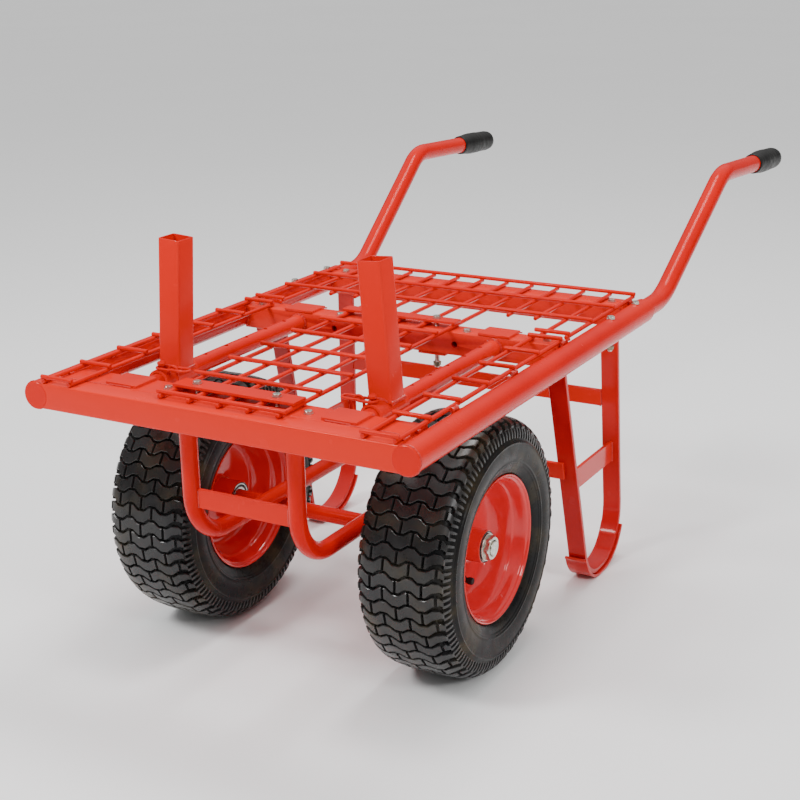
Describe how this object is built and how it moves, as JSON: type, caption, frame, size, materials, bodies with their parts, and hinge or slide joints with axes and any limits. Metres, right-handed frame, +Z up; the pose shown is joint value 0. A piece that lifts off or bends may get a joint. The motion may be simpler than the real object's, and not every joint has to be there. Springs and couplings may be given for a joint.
{
  "type": "wheelbarrow",
  "caption": "Flat-deck hand barrow with wide turf tyres, welded tube frame, wire-mesh deck, bent strap legs, cranked handles and pinned sliding load posts.",
  "frame": {"origin": "on the ground under the middle of the bounding box", "axes": "+Z up, +Y from the front edge of the deck toward the handles, +X to the right of the person pushing"},
  "size_m": [0.7108, 1.5463, 0.6688],
  "materials": {
    "red_powder_coat": "gloss",
    "tyre_rubber": "matte",
    "grip_rubber": "satin",
    "valve_rubber": "satin",
    "bearing_steel": "satin",
    "zinc_fastener": "satin"
  },
  "bodies": {
    "frame": {"axle": "red_powder_coat", "axle_nut_left": "zinc_fastener", "axle_nut_right": "zinc_fastener", "clamp_bolt_left": "zinc_fastener", "clamp_bolt_right": "zinc_fastener", "clamp_plate_lower": "red_powder_coat", "clamp_strip_front": "red_powder_coat", "clamp_strip_rear": "red_powder_coat", "deck_mesh": "red_powder_coat", "end_plate_left": "red_powder_coat", "end_plate_right": "red_powder_coat", "front_bar": "red_powder_coat", "front_ledge": "red_powder_coat", "grip_left": "grip_rubber", "grip_right": "grip_rubber", "handle_bolt_left_back": "zinc_fastener", "handle_bolt_left_front": "zinc_fastener", "handle_bolt_right_back": "zinc_fastener", "handle_bolt_right_front": "zinc_fastener", "handle_left": "red_powder_coat", "handle_right": "red_powder_coat", "leg_brace_left": "red_powder_coat", "leg_brace_right": "red_powder_coat", "leg_left": "red_powder_coat", "leg_right": "red_powder_coat", "leg_shoe_left": "red_powder_coat", "leg_shoe_right": "red_powder_coat", "leg_tie_lower": "red_powder_coat", "leg_tie_upper": "red_powder_coat", "middle_crossbar": "red_powder_coat", "rail_left": "red_powder_coat", "rail_right": "red_powder_coat", "rear_bolt_left": "zinc_fastener", "rear_bolt_right": "zinc_fastener", "rear_crossbar": "red_powder_coat", "side_mesh_left": "red_powder_coat", "side_mesh_right": "red_powder_coat", "side_tube_left": "red_powder_coat", "side_tube_right": "red_powder_coat", "strip_bolt_left": "zinc_fastener", "strip_bolt_right": "zinc_fastener", "under_tie": "red_powder_coat", "under_tube_left": "red_powder_coat", "under_tube_right": "red_powder_coat"},
    "wheel_left": {"bearing_left_inner": "bearing_steel", "bearing_left_outer": "bearing_steel", "rim_left": "red_powder_coat", "tyre_left": "tyre_rubber", "valve_left": "valve_rubber"},
    "wheel_right": {"bearing_right_inner": "bearing_steel", "bearing_right_outer": "bearing_steel", "rim_right": "red_powder_coat", "tyre_right": "tyre_rubber", "valve_right": "valve_rubber"},
    "post_left": {"post_chain_left": "red_powder_coat", "post_left": "red_powder_coat"},
    "post_right": {"post_chain_right": "red_powder_coat", "post_right": "red_powder_coat"},
    "pin_left": {"post_pin_left": "zinc_fastener"},
    "pin_right": {"post_pin_right": "zinc_fastener"}
  },
  "joints": [
    {"name": "wheel_left_spin", "type": "hinge", "parent": "frame", "child": "wheel_left", "pos_m": [-0.2278, -0.4587, 0.203], "axis": [1, 0, 0], "continuous": true},
    {"name": "wheel_right_spin", "type": "hinge", "parent": "frame", "child": "wheel_right", "pos_m": [0.2278, -0.4587, 0.203], "axis": [1, 0, 0], "continuous": true},
    {"name": "post_left_slide", "type": "slide", "parent": "frame", "child": "post_left", "axis": [0, 1, 0], "range_m": [-0.03, 0.3]},
    {"name": "post_right_slide", "type": "slide", "parent": "frame", "child": "post_right", "axis": [0, 1, 0], "range_m": [-0.03, 0.3]},
    {"name": "pin_left_pull", "type": "slide", "parent": "post_left", "child": "pin_left", "axis": [0.0698, 0, 0.9976], "range_m": [0, 0.03]},
    {"name": "pin_right_pull", "type": "slide", "parent": "post_right", "child": "pin_right", "axis": [-0.0698, 0, 0.9976], "range_m": [0, 0.03]}
  ]
}
